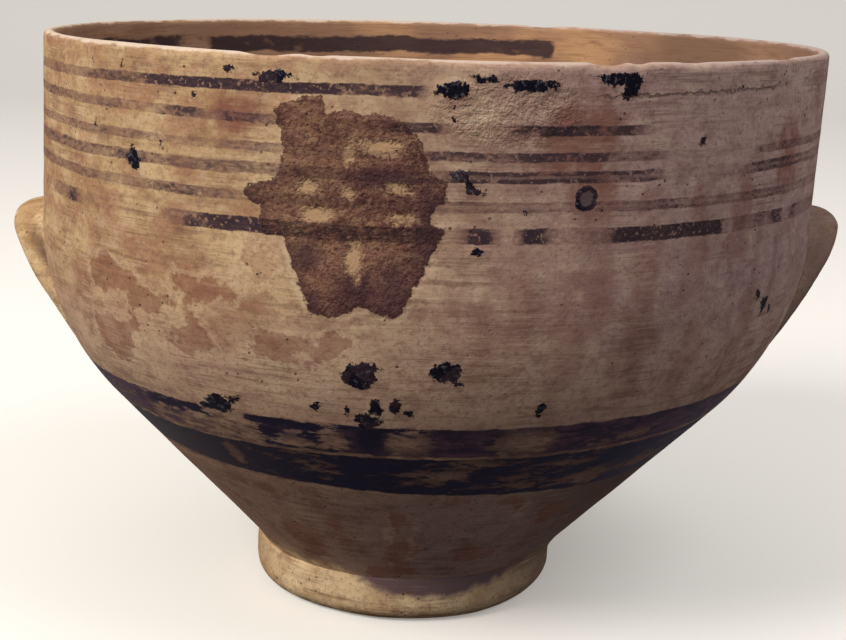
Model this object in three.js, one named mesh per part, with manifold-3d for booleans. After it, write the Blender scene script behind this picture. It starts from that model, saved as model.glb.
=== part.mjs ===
// A footed pottery bowl with two loop handles pressed to its wall. Millimetres, +Z up, the handles on the X axis.
import * as THREE from 'three';
import { mergeVertices } from 'three/addons/utils/BufferGeometryUtils.js';
import Module from 'manifold-3d';

const wasm = await Module();
wasm.setup();

const { degToRad, lerp } = THREE.MathUtils;

// The thrown bowl
const RIM_RADIUS = 120;
const HEIGHT = 176.3;
const WALL = 5.5;
const LIP_THICKNESS = 3.8;
const LIP_DEPTH = 16;
const FLOOR_THICKNESS = 7.5;
const INNER_FLOOR_ROUND = 45;
const SHOULDER_ROUND = 76;
const CONE_ANGLE = degToRad(42.9);
// The radius at which the cone's straight side would meet the table
const CONE_BASE_RADIUS = 35.3;

// The foot
const FOOT_RADIUS = 50.5;
const FOOT_HEIGHT = 14.6;
const FOOT_EDGE_ROUND = 6;
const RECESS_RADIUS = 39;
const RECESS_DEPTH = 10.5;

// The handles
const HANDLE_REACH = 11.3;
const HANDLE_ROOT_HEIGHT = 77.3;
const HANDLE_HALF_SPAN = 24;
const HANDLE_TILT = { left: degToRad(58.2), right: degToRad(60.8) };
// The coil is set on edge: its breadth runs out from the wall and falls a little going out
const COIL_BREADTH = 14;
const COIL_THICKNESS = 8.6;
const COIL_FALL = degToRad(12);
// How much squarer than an ellipse the loop is, where 2 is an ellipse
const LOOP_SQUARENESS = 2.6;
// How far the coil is sunk towards the wall, how much further its roots are, and how far its ends run on
const COIL_SINK = 3.9;
const ROOT_PRESS = 3.6;
const ROOT_RUN_ON = 4;

// The axis leans to the left going down, by this share of the height
const AXIS_LEAN = 0.03;

// The luted joints
const JOINT_GAP = 0.3;

// Facets
const BOWL_SEGMENTS = 80;
const FOOT_SEGMENTS = 60;
const BOWL_ARC_STEPS = 9;
const FOOT_ARC_STEPS = 5;
const LOOP_STEPS = 36;
const COIL_SIDES = 16;

const BUFF_SLIP = 0xd9b48c;
const CREAM_SLIP = 0xe6cfa8;

const coneSlope = Math.tan(CONE_ANGLE);

function point(radius, height) {
  return new THREE.Vector2(radius, height);
}

function toSolid(geometry) {
  const bare = geometry.clone();
  bare.deleteAttribute('normal');
  bare.deleteAttribute('uv');
  const merged = mergeVertices(bare, 1e-4);
  return new wasm.Manifold(new wasm.Mesh({
    numProp: 3,
    vertProperties: new Float32Array(merged.attributes.position.array),
    triVerts: new Uint32Array(merged.index.array),
  }));
}

function toGeometry(solid) {
  const mesh = solid.getMesh();
  const geometry = new THREE.BufferGeometry();
  geometry.setAttribute('position', new THREE.BufferAttribute(new Float32Array(mesh.vertProperties), 3));
  geometry.setIndex(new THREE.BufferAttribute(new Uint32Array(mesh.triVerts), 1));
  geometry.computeVertexNormals();
  return geometry;
}

// A lathe turns about Y, so its axis is stood up along Z
function turned(profile, segments) {
  const geometry = new THREE.LatheGeometry(profile, segments);
  geometry.rotateX(Math.PI / 2);
  return toSolid(geometry);
}

function arc(centre, radius, from, to, steps) {
  return Array.from({ length: steps + 1 }, (_, i) => {
    const angle = lerp(from, to, i / steps);
    return point(centre.x + radius * Math.cos(angle), centre.y + radius * Math.sin(angle));
  });
}

function coneRadius(height) {
  return CONE_BASE_RADIUS + coneSlope * height;
}

// Where the round shoulder passes into the upright wall
function shoulderTop() {
  const corner = (RIM_RADIUS - CONE_BASE_RADIUS) / coneSlope;
  return corner + SHOULDER_ROUND * Math.tan(CONE_ANGLE / 2);
}

// The side of the bowl going up: straight cone, round shoulder, upright wall.
// inset moves it into the clay, and a negative inset moves it out.
function side(inset, bottom, top) {
  const start = point(coneRadius(bottom) - inset / Math.cos(CONE_ANGLE), bottom);
  const centre = point(RIM_RADIUS - SHOULDER_ROUND, shoulderTop());
  const shoulder = arc(centre, SHOULDER_ROUND - inset, -CONE_ANGLE, 0, BOWL_ARC_STEPS);
  return [start, ...shoulder, point(RIM_RADIUS - inset, top)];
}

// The rounded edge, from the outer side over to the inner
function lip() {
  const round = LIP_THICKNESS / 2;
  return arc(point(RIM_RADIUS - round, HEIGHT - round), round, 0, Math.PI, BOWL_ARC_STEPS - 3);
}

// The inside going down from below the lip, with a broad round into the floor
function inside() {
  const floor = RECESS_DEPTH + FLOOR_THICKNESS;
  const down = side(WALL, floor, HEIGHT - LIP_DEPTH).reverse();
  const corner = down.pop();
  const turn = Math.PI / 2 - CONE_ANGLE;
  const centre = point(corner.x - INNER_FLOOR_ROUND * Math.tan(turn / 2), floor + INNER_FLOOR_ROUND);
  const round = arc(centre, INNER_FLOOR_ROUND, -CONE_ANGLE, -Math.PI / 2, BOWL_ARC_STEPS - 3);
  return [...down, ...round, point(0, floor)];
}

function bowlBody() {
  const outside = side(0, RECESS_DEPTH, HEIGHT).slice(0, -1);
  const profile = [point(0, RECESS_DEPTH), ...outside, ...lip(), ...inside()];
  return turned(profile, BOWL_SEGMENTS);
}

// The bowl filled in and grown by the joint gap, which cuts the foot and the handles to fit it
function bowlEnvelope() {
  const bottom = RECESS_DEPTH - JOINT_GAP;
  const profile = [point(0, bottom), ...side(-JOINT_GAP, bottom, HEIGHT), point(0, HEIGHT)];
  return turned(profile, BOWL_SEGMENTS);
}

// A ring with a flat resting face, a bulging side and a top edge smoothed on to the cone
function footRing(envelope) {
  const edgeCentre = point(FOOT_RADIUS - FOOT_EDGE_ROUND, FOOT_EDGE_ROUND);
  const edge = arc(edgeCentre, FOOT_EDGE_ROUND, -Math.PI / 2, 0, FOOT_ARC_STEPS);
  const topEdge = point(coneRadius(FOOT_HEIGHT), FOOT_HEIGHT);
  const bulge = new THREE.QuadraticBezierCurve(
    point(FOOT_RADIUS, FOOT_EDGE_ROUND),
    point(FOOT_RADIUS, FOOT_HEIGHT),
    topEdge,
  );
  const profile = [
    point(RECESS_RADIUS, 0),
    ...edge,
    ...bulge.getPoints(FOOT_ARC_STEPS).slice(1),
    point(RECESS_RADIUS, FOOT_HEIGHT),
    point(RECESS_RADIUS, 0),
  ];
  return turned(profile, FOOT_SEGMENTS).subtract(envelope);
}

// The loop in its own plane: x across the handle, y up from the roots to the tip
class Loop extends THREE.Curve {
  constructor(rise) {
    super();
    this.rise = rise;
  }

  getPoint(t) {
    const power = 2 / LOOP_SQUARENESS;
    const runOn = (ROOT_RUN_ON / this.rise) ** (1 / power);
    const angle = lerp(-runOn, Math.PI + runOn, t);
    const across = Math.sign(Math.cos(angle)) * Math.abs(Math.cos(angle)) ** power;
    const up = Math.sign(Math.sin(angle)) * Math.abs(Math.sin(angle)) ** power;
    return new THREE.Vector3(across * HANDLE_HALF_SPAN, up * this.rise, 0);
  }
}

// The radius of the bowl at a height on the shoulder
function shoulderRadius(height) {
  const drop = shoulderTop() - height;
  return RIM_RADIUS - SHOULDER_ROUND + Math.sqrt(SHOULDER_ROUND ** 2 - drop ** 2);
}

// Where a loop's plane starts and how far it rises, so that its tip stands HANDLE_REACH off the wall
function loopPlace(tilt) {
  const rootX = Math.sqrt(shoulderRadius(HANDLE_ROOT_HEIGHT) ** 2 - HANDLE_HALF_SPAN ** 2);
  const halfTip = Math.hypot(COIL_BREADTH * Math.cos(COIL_FALL), COIL_THICKNESS * Math.cos(tilt)) / 2;
  const tipX = RIM_RADIUS + HANDLE_REACH - halfTip + COIL_SINK * Math.cos(COIL_FALL);
  const rise = (tipX - rootX) / Math.cos(tilt);
  return { rootX, rise, tipHeight: HANDLE_ROOT_HEIGHT + rise * Math.sin(tilt) };
}

// The coil is sunk towards the wall along its whole length, and most at its roots
function pressOn(geometry, rise) {
  const position = geometry.attributes.position;
  for (let i = 0; i < position.count; i += 1) {
    const towardsRoot = Math.max(0, 1 - position.getY(i) / rise);
    position.setZ(i, position.getZ(i) - COIL_SINK - ROOT_PRESS * towardsRoot ** 2);
  }
}

// A flattened coil bent into a loop, tilted up along the shoulder and cut to the wall
function handle(envelope, tilt, turn) {
  const { rootX, rise } = loopPlace(tilt);
  const section = new THREE.Shape();
  section.absellipse(0, 0, COIL_BREADTH / 2, COIL_THICKNESS / 2, 0, Math.PI * 2);
  const geometry = new THREE.ExtrudeGeometry(section, {
    steps: LOOP_STEPS,
    curveSegments: COIL_SIDES / 2,
    extrudePath: new Loop(rise),
  });
  pressOn(geometry, rise);
  const placed = new THREE.Matrix4().makeBasis(
    new THREE.Vector3(0, 1, 0),
    new THREE.Vector3(Math.cos(tilt), 0, Math.sin(tilt)),
    new THREE.Vector3(Math.cos(COIL_FALL), 0, -Math.sin(COIL_FALL)),
  );
  placed.setPosition(rootX, 0, HANDLE_ROOT_HEIGHT);
  geometry.applyMatrix4(placed);
  geometry.rotateZ(turn);
  return toSolid(geometry).subtract(envelope);
}

// Each level slides along X with its height, and the level of the left handle's tip stays
function lean(geometry) {
  const shear = new THREE.Matrix4().makeShear(0, 0, 0, 0, AXIS_LEAN, 0);
  shear.setPosition(-AXIS_LEAN * loopPlace(HANDLE_TILT.left).tipHeight, 0, 0);
  geometry.applyMatrix4(shear);
}

function piece(name, solid, color) {
  const geometry = toGeometry(solid);
  lean(geometry);
  const material = new THREE.MeshStandardMaterial({ color, roughness: 0.82, metalness: 0 });
  const mesh = new THREE.Mesh(geometry, material);
  mesh.name = name;
  return mesh;
}

const envelope = bowlEnvelope();
const bowl = new THREE.Group();
bowl.add(piece('bowl_body', bowlBody(), BUFF_SLIP));
bowl.add(piece('foot_ring', footRing(envelope), CREAM_SLIP));
bowl.add(piece('left_handle', handle(envelope, HANDLE_TILT.left, Math.PI), BUFF_SLIP));
bowl.add(piece('right_handle', handle(envelope, HANDLE_TILT.right, 0), BUFF_SLIP));

export default bowl;
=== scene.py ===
"""A footed pottery bowl in worn painted clay. Metres, +Z up, and the photographed front faces -Y."""

from math import copysign, cos, degrees, exp, hypot, pi, radians, sin, sqrt, tan

import bpy
import numpy as np
from mathutils import Matrix, Vector, noise


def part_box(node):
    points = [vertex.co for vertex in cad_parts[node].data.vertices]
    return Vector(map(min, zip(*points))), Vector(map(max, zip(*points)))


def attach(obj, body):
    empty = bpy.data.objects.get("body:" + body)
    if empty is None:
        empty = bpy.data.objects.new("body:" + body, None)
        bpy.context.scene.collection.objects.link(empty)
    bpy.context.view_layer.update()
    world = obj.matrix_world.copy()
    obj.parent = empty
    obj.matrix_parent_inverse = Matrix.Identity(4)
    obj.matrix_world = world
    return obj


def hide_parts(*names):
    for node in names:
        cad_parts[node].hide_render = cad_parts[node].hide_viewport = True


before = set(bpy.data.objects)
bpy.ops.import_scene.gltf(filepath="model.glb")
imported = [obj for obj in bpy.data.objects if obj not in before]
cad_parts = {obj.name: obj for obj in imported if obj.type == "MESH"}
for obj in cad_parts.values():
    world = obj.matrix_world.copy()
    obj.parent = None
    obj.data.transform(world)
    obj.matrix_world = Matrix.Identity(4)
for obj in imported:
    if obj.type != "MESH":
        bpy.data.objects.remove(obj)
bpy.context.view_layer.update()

MM = 0.001

# The bowl's sizes, from the frame where the frame gives them
body_low, body_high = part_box("bowl_body")
foot_low, foot_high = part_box("foot_ring")
RIM_RADIUS = (body_high.y - body_low.y) / 2
HEIGHT = body_high.z
RECESS_DEPTH = body_low.z
FOOT_RADIUS = (foot_high.y - foot_low.y) / 2
FOOT_HEIGHT = 14.6 * MM
FOOT_EDGE_ROUND = 6 * MM
FOOT_RECESS_RADIUS = 39 * MM
# How much clay is smoothed into the waist over the foot
WAIST_FILLET = 1.2 * MM
# How much the foot's right side is worn in, between which angles in degrees this begins and ends, and
# between which heights it fades out
FOOT_WORN_SIDE = 2.6 * MM
FOOT_WORN_START = (22, 62)
FOOT_WORN_END = (160, 118)
FOOT_WORN_TOP = (16.5 * MM, 10 * MM)
WALL = 5.5 * MM
LIP_THICKNESS = 3.8 * MM
LIP_DEPTH = 16 * MM
FLOOR_THICKNESS = 7.5 * MM
INNER_FLOOR_ROUND = 45 * MM
SHOULDER_ROUND = 76 * MM
CONE_ANGLE = radians(42.9)
CONE_BASE_RADIUS = 35.3 * MM
AXIS_LEAN = 0.03
# The height at which the lean leaves every level where it was
LEAN_LEVEL = 116.8 * MM

# The handles: flattened coils set on edge, bent into loops and pressed to the wall. The coils are a touch
# slimmer and reach a touch less far than the solids', so that relief has room.
HANDLE_REACH = 11.1 * MM
HANDLE_ROOT_HEIGHT = 77.3 * MM
HANDLE_HALF_SPAN = 24 * MM
HANDLE_TILT = {"left": radians(58.2), "right": radians(60.8)}
COIL_BREADTH = 13.8 * MM
COIL_THICKNESS = 8.4 * MM
COIL_FALL = radians(12)
COIL_SINK = 3.9 * MM
LOOP_SQUARENESS = 2.6
ROOT_PRESS = 3.6 * MM
ROOT_RUN_ON = 0.05
# A groove pressed into each leg: its depth, and its middle and half length in degrees round the loop
GROOVE_DEPTH = 2.2 * MM
GROOVE_PLACE = 42
GROOVE_LENGTH = 15
# How much wider a coil is where it meets the wall, and up to what height over it
COIL_FLARE = 1.3 * MM
COIL_FLARE_HEIGHT = 3 * MM
# How far under the wall's face the hidden side of a coil stops
COIL_UNDER_FACE = 1.5 * MM

# The photograph's view: its size, the lens and where the camera stands
IMAGE_WIDTH = 846
FOCAL_PIXELS = 1516.6
SENSOR_WIDTH = 36
CAMERA_DISTANCE = 482.7 * MM
CAMERA_ABOVE_RIM = 21.7 * MM
CAMERA_YAW = radians(-0.2)
CAMERA_PITCH = radians(13.222)
CAMERA_ROLL = radians(-1.65)

# The studio: a level floor, then a round sweep into a backdrop
FLOOR_REACH = 1.7
SWEEP_ROUND = 1.2
SWEEP_STEPS = 12
BACKDROP_HEIGHT = 3.2
FLOOR_HALF_WIDTH = 2.55
# The surroundings' light from below and from above, and their colour where they are seen
WORLD_LOW = (0.2, 0.198, 0.2, 1)
WORLD_HIGH = (0.62, 0.61, 0.6, 1)
WORLD_SEEN = (0.78, 0.77, 0.755, 1)
# Each lamp: its place, size, power and colour
KEY_LAMP = ((-0.97, -0.78, 1.06), 0.7, 22, (1, 0.96, 0.9))
FILL_LAMP = ((0.85, -0.55, 1.5), 1.0, 9, (0.95, 0.96, 1))

# The body's mesh: how far its face lies under the solid's, so that relief has room, its columns,
# crowded towards the front, the spacing of its rows, and the radius at which level faces end in a fan
SKIN = 0.5 * MM
COLUMNS = 480
FRONT_CROWDING = 0.45
WALL_ROW = 1.0 * MM
SIDE_ROW = 1.9 * MM
INSIDE_ROW = 4.5 * MM
LIP_STEPS = 8
FAN_RADIUS = 4 * MM

# The foot's and the handles' meshes
FOOT_COLUMNS = 200
LOOP_STEPS = 120
COIL_SIDES = 44

# How high the wall's unevenness stands: throwing rings, broad hollows, flakes, crust and deposits
RING_RELIEF = 0.14 * MM
BROAD_RELIEF = 0.28 * MM
FLAKE_RELIEF = 0.35 * MM
CRUST_RELIEF = 0.26 * MM
SPOT_RELIEF = 0.2 * MM

# How much the matt clay mirrors
CLAY_SHEEN = 0.03

# Marks are placed by an angle in degrees round the axis, 0 at the front and growing to the right,
# and a height in millimetres above this level, just over the table. A spot is (angle, height, half width,
# half height), the last three in millimetres.
MARKS_LEVEL = 1.3
# A mark's tilt is how far it rises in this many millimetres to the right
TILT_REACH = 120
# Distances to a mark's edge are kept between these, in millimetres
FAR_OUTSIDE = -9.0
FAR_INSIDE = 6.0
# A run of paint is (the angle at which it starts, how much of it is left), and None ends the last one
BARE = 0.0
PAINT_LEFT_UNSEEN = 0.5

# The thin bands: height and width in millimetres, and how far the line tilts up to the right
THIN_BANDS = [
    dict(height=167.1, tilt=1.2, width=2.7, runs=[
        (-90, 0.5), (-62, 0.6), (-47, 0.75), (-37, 0.95), (-14, 0.85), (-1, BARE), (10, 0.22), (26, 0.1),
        (45, BARE), (57, 0.3), (70, None)]),
    dict(height=158.6, tilt=-0.9, width=2.5, runs=[
        (-90, 0.62), (-50, 0.45), (-43, 0.38), (-36, 0.72), (-29, 0.3), (-26, 0.75), (-18, 0.3),
        (-6, 0.85), (1.5, BARE), (9, 0.7), (13, 0.95), (25, 0.5), (27, BARE), (70, None)]),
    dict(height=151.8, tilt=0.0, width=2.3, runs=[
        (-90, 0.58), (-37, 0.42), (-27, 0.6), (-18, 0.4), (-1, 0.74), (10, 0.82), (21, 0.5), (29, 0.15),
        (46, 0.6), (70, None)]),
    dict(height=146.7, tilt=0.5, width=2.9, double=True, runs=[
        (-90, 0.66), (-42, 0.66), (-18, 0.62), (1, 0.8), (18, 0.82), (29, 0.3), (45, 0.75), (60, 0.45),
        (70, None)]),
    dict(height=139.6, tilt=-0.1, width=2.6, double=True, runs=[
        (-90, 0.55), (-42, 0.6), (-18, 0.45), (1, 0.7), (8, 0.5), (21, 0.68), (33, 0.68), (56, 0.45),
        (70, None)]),
    dict(height=132.4, tilt=0.0, width=3.9, runs=[
        (-90, 0.2), (-63, 0.55), (-58, 0.15), (-56.5, 0.75), (-52.5, 0.12), (-34, 0.6), (-31, 0.92),
        (-18, 0.9), (2, BARE), (4.2, 0.98), (8.2, BARE), (11.2, 0.95), (14.6, 0.25), (22.5, 0.99),
        (40.5, 0.15), (43, 0.8), (45.5, 0.3), (46.5, 0.8), (49.5, 0.3), (51, 0.8), (55, 0.2), (57, 0.8),
        (60, 0.4), (70, None)]),
]
# Paint runs out over about this many degrees
RUN_FADE = 0.8
# The band round the inside: its edges, and its runs in degrees from the front on past the right side
INNER_BAND_BOTTOM = 163
INNER_BAND_TOP = 169
INNER_BAND_RUNS = [
    (100, 0.12), (157, 0.95), (205, 0.75), (214, 0.9), (226, 0.3), (232, 0.72), (262, 0.5), (290, None)]

# The two wide bands low on the shoulder, with a thin line left free between them
WIDE_TOP = 79.6
WIDE_BOTTOM = 53.9
WIDE_BOTTOM_TILT = -4.8
FREE_LINE = 68.4
FREE_LINE_WIDTH = 0.9
WIDE_UPPER_RUNS = [
    (-90, 0.66), (-46, 0.42), (-24, 0.5), (-10, 0.9), (-4, 0.6), (3, 0.9), (12, 0.62), (21, 0.97),
    (90, None)]
WIDE_UPPER_UNSEEN = 0.85
# Spots where the wide bands are worn to the clay, and spots of them that are left whole
WIDE_WORN = [
    (-29.2, 76, 10, 2.6), (-25.7, 70.6, 8, 1.8), (-18.7, 70.6, 6, 1.7), (-12.1, 72.6, 5.2, 2.2),
    (-1.1, 74.3, 5.8, 2.7), (17.2, 74.6, 8.5, 3), (27.6, 71.9, 5, 1.3), (36.6, 72.5, 6, 1.3),
    (-15.3, 60.1, 2.8, 1.1), (-18.4, 64.1, 3.2, 0.8), (4.9, 61, 7.6, 2), (10.4, 66.3, 4.4, 0.8),
    (14.8, 60.8, 8.4, 0.8), (25.8, 64.6, 4, 1.1), (33.9, 57, 7, 1.9), (48.1, 57.1, 8, 1.6),
    (-31.9, 62.8, 0.9, 3.6), (20.1, 57, 7.1, 0.8)]
WIDE_WHOLE = [
    (-19.7, 78.2, 9.5, 1.5), (-14.6, 75.6, 3.4, 1.8), (-21.7, 74.2, 2.8, 1.7), (-6.3, 75.8, 3.2, 6),
    (-3.5, 79, 11, 0.9), (-40.1, 77.3, 6.5, 1.7), (-33.8, 77.6, 3.4, 1.4), (-17.5, 69.8, 7, 0.8)]

# The brown crust on the front: its outline as (angle, height in millimetres), and the bare islands in it
CRUST_OUTLINE = [
    (-19.2, 162), (-15.5, 164.6), (-13, 165), (-12.3, 161), (-10.3, 162), (-4.4, 161), (-1.3, 155.6),
    (0.3, 147.5), (2.1, 145), (2.2, 141.3), (0.4, 138), (0.5, 135), (2.2, 134), (1.2, 129), (0, 122.5),
    (-1.7, 116.5), (-2.8, 111), (-4.8, 112.2), (-7.2, 114), (-10.8, 110.6), (-13.5, 111.5),
    (-14.9, 119.7), (-17, 130.7), (-19.7, 131), (-20.2, 137.5), (-22.1, 139.8), (-22, 142.3),
    (-18.2, 144.6), (-17.4, 151.6), (-17.8, 156.5)]
CRUST_ISLANDS = [
    (-5.9, 153.6, 5, 1.5), (-9.4, 151.8, 0.9, 1.9), (-14.2, 143.2, 3, 2.2), (-12.9, 136.6, 3, 1.6),
    (-9.2, 141.8, 1.6, 1.7), (-8.2, 129, 1.1, 1.6), (-8.3, 124.6, 1.6, 2.6), (-7.9, 120.8, 0.7, 1.2),
    (-3.2, 143.6, 2.6, 1.4), (-3.2, 136.4, 3, 1.3)]

# The darker parts of the crust
CRUST_DARK = [
    (-7.6, 117.7, 6, 5), (0.2, 134, 4, 12), (-3.5, 118, 4, 8), (-13, 114, 2.5, 3), (-5, 146, 8, 2.5),
    (-14, 126, 4, 3)]
# Crumbling, pale ground under the lip at the front
FLAKED_PLACE = (8.5, 163.5, 13, 6.5)

# The fine crack under the lip: its height, its tilt and the place where it shows
CRACK_HEIGHT = 165.2
CRACK_TILT = 3.36
CRACKED_PLACE = (35, 166.5, 34, 6)

# Black deposits
BLACK_SPOTS = [
    (-18.9, 169.3, 5, 1.7), (-24.9, 170.8, 1.6, 0.9), (-42.5, 169.6, 0.9, 1), (-48.9, 169.4, 0.9, 0.8),
    (-29.7, 163.6, 0.7, 0.7), (2.1, 167.7, 4.2, 2.2), (6.2, 170.6, 3.4, 1.1), (11.3, 169.1, 6.4, 1.6),
    (22.6, 171, 6.6, 2.2), (23.4, 167.6, 2.6, 2), (2.6, 163, 0.4, 1.8), (-39.7, 145.4, 2.4, 3.4),
    (-48.2, 153.1, 0.9, 1.2), (3.4, 147.2, 2, 1.2), (4.6, 145, 1, 2), (5.6, 143.2, 1.7, 0.8),
    (11.6, 138.3, 0.6, 0.5), (6.1, 128.2, 1.8, 1.3), (-35, 150.7, 0.5, 1.1), (35.1, 155.6, 0.9, 1.2),
    (41.3, 168.7, 0.8, 0.6), (59.1, 158.7, 0.5, 1.3), (53.1, 107.8, 2.2, 2.8), (50.6, 110.6, 1.3, 1.5),
    (55.4, 104.6, 1, 1.7), (-7.2, 95.2, 4.6, 3.6), (-6.2, 97.4, 3.4, 1.7), (3.5, 97, 4.2, 2.9),
    (5.2, 93.6, 1.3, 0.9), (-13.3, 85.2, 1.5, 1.4), (-5.2, 85.6, 2, 2.4), (-2.6, 86.4, 1.6, 2.5),
    (-6.4, 81.6, 3.6, 2.6), (-0.9, 84.6, 2.2, 1), (17, 85, 1.4, 2.2), (6.4, 89.6, 0.4, 0.6),
    (-28.6, 81.6, 4.6, 3), (-25.8, 84.2, 2.4, 1.1), (-31.5, 79.6, 2.6, 1.2), (-9, 84.6, 0.8, 1.4)]
# A small plug in a black ring
PLUG = (19, 141.6, 2.4, 2.7)

# Soft reddish stains and streaks
RED_STAINS = [
    (17.5, 156, 12, 9), (20, 141, 6, 9), (19, 161, 9, 3), (28, 124, 5, 15), (36, 124, 4, 16),
    (44.4, 132, 5, 12), (11.7, 113, 4, 14), (18.4, 104, 5, 16), (22, 118, 5, 10), (7.4, 104, 3, 12),
    (28, 102, 5, 16), (38, 98, 4, 14), (48, 102, 4, 14), (-33, 125, 12, 5), (-24, 160, 7, 5),
    (-46, 125, 6, 8), (55, 150, 7, 10), (-40, 112, 17, 13), (-25, 109, 15, 10), (-52, 104, 9, 12),
    (-33, 117, 12, 6)]
# Stains with sharp edges: tide marks on the wall, and runs down the cone
TIDE_STAINS = [
    (-44, 113, 10, 6), (-27, 115, 11, 4.5), (-33, 101, 15, 4), (-17, 102.5, 7, 3), (-47, 96, 8, 6),
    (-37, 108, 7, 3), (-10, 105, 3, 2), (42, 127, 2, 4), (-20, 120, 3, 4), (-2.8, 42, 1.6, 12),
    (-1.5, 24, 3.6, 11), (-8, 15, 7, 2.6), (6, 49, 4, 1.6), (20, 25, 7, 4), (42, 12, 9, 4),
    (-17, 40, 2.4, 8), (-30, 27, 5, 11), (-26.5, 48, 5, 1.4), (35, 43, 4, 4), (21.5, 48.7, 1.6, 1.1),
    (23.6, 46, 1, 0.8)]
# Pale slip: smears under the handles' near roots, partly a painted highlight on the roots' ridges, the
# flaked clay beside the crust, and drips on the cone
PALE_PLACES = [
    (-75, 104, 4.4, 14), (74, 102, 6, 13), (66, 96, 3.4, 6), (56, 92, 3, 4), (-22, 128, 5, 4),
    (-19.5, 121, 4, 6), (-16.5, 113, 3, 4), (-6, 109, 6, 1.4), (0.8, 112, 1.2, 5), (-4.5, 36, 0.8, 7),
    (1.5, 31, 0.8, 5), (25, 43, 0.8, 3), (57, 169, 9, 3.4)]
# How much the lip is worn down all round, and how far below it this reaches
LIP_WORN = 0.3 * MM
LIP_WORN_DEPTH = 7 * MM
# Chips along the lip, as (angle, half width in degrees, depth in millimetres)
LIP_CHIPS = [
    (-20.5, 3.2, 0.7), (-14, 1.6, 0.3), (20.8, 2.4, 0.8), (25, 1.4, 0.5), (33, 2.4, 0.3), (52, 3, 0.4),
    (160, 3, 0.6)]

# The wash's lower edge on the foot: where it dips and how low, how far it rises again a half width beside
# the dip, and the most that it rises
WASH_DIP_PLACE = 6
WASH_DIP_HEIGHT = 7.4
WASH_DIP_HALF_WIDTH = 26
WASH_RISE = 6.5
WASH_MOST_RISE = 8.5

# The spots that the body's points tell their distance to, by the name that the clay reads
SPOT_MARKS = {
    "islands": CRUST_ISLANDS, "spots": BLACK_SPOTS, "worn": WIDE_WORN, "whole": WIDE_WHOLE,
    "tide": TIDE_STAINS, "pale": PALE_PLACES, "plug": [PLUG], "cracked": [CRACKED_PLACE]}

cone_slope = tan(CONE_ANGLE)
shoulder_top = (RIM_RADIUS - CONE_BASE_RADIUS) / cone_slope + SHOULDER_ROUND * tan(CONE_ANGLE / 2)
cone_top = shoulder_top - SHOULDER_ROUND * sin(CONE_ANGLE)


def lean_at(height):
    return AXIS_LEAN * (height - LEAN_LEVEL)


# Shader nodes
def tone(code):
    """A colour written as sRGB hex, in the linear values that shaders take."""
    parts = [int(code[i:i + 2], 16) / 255 for i in (0, 2, 4)]
    linear = [c / 12.92 if c <= 0.04045 else ((c + 0.055) / 1.055) ** 2.4 for c in parts]
    return (*linear, 1.0)


def give(tree, node, values):
    """Link a node's inputs to outputs, or set them to constants."""
    for place, value in values.items():
        if isinstance(value, bpy.types.NodeSocket):
            tree.links.new(value, node.inputs[place])
        else:
            node.inputs[place].default_value = value


def new_node(tree, kind, values=None, **settings):
    node = tree.nodes.new("ShaderNode" + kind)
    for name, setting in settings.items():
        setattr(node, name, setting)
    give(tree, node, values or {})
    return node


def mixed(tree, share, below, above):
    return new_node(tree, "Mix", {0: share, 6: below, 7: above}, data_type="RGBA").outputs[2]


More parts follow.
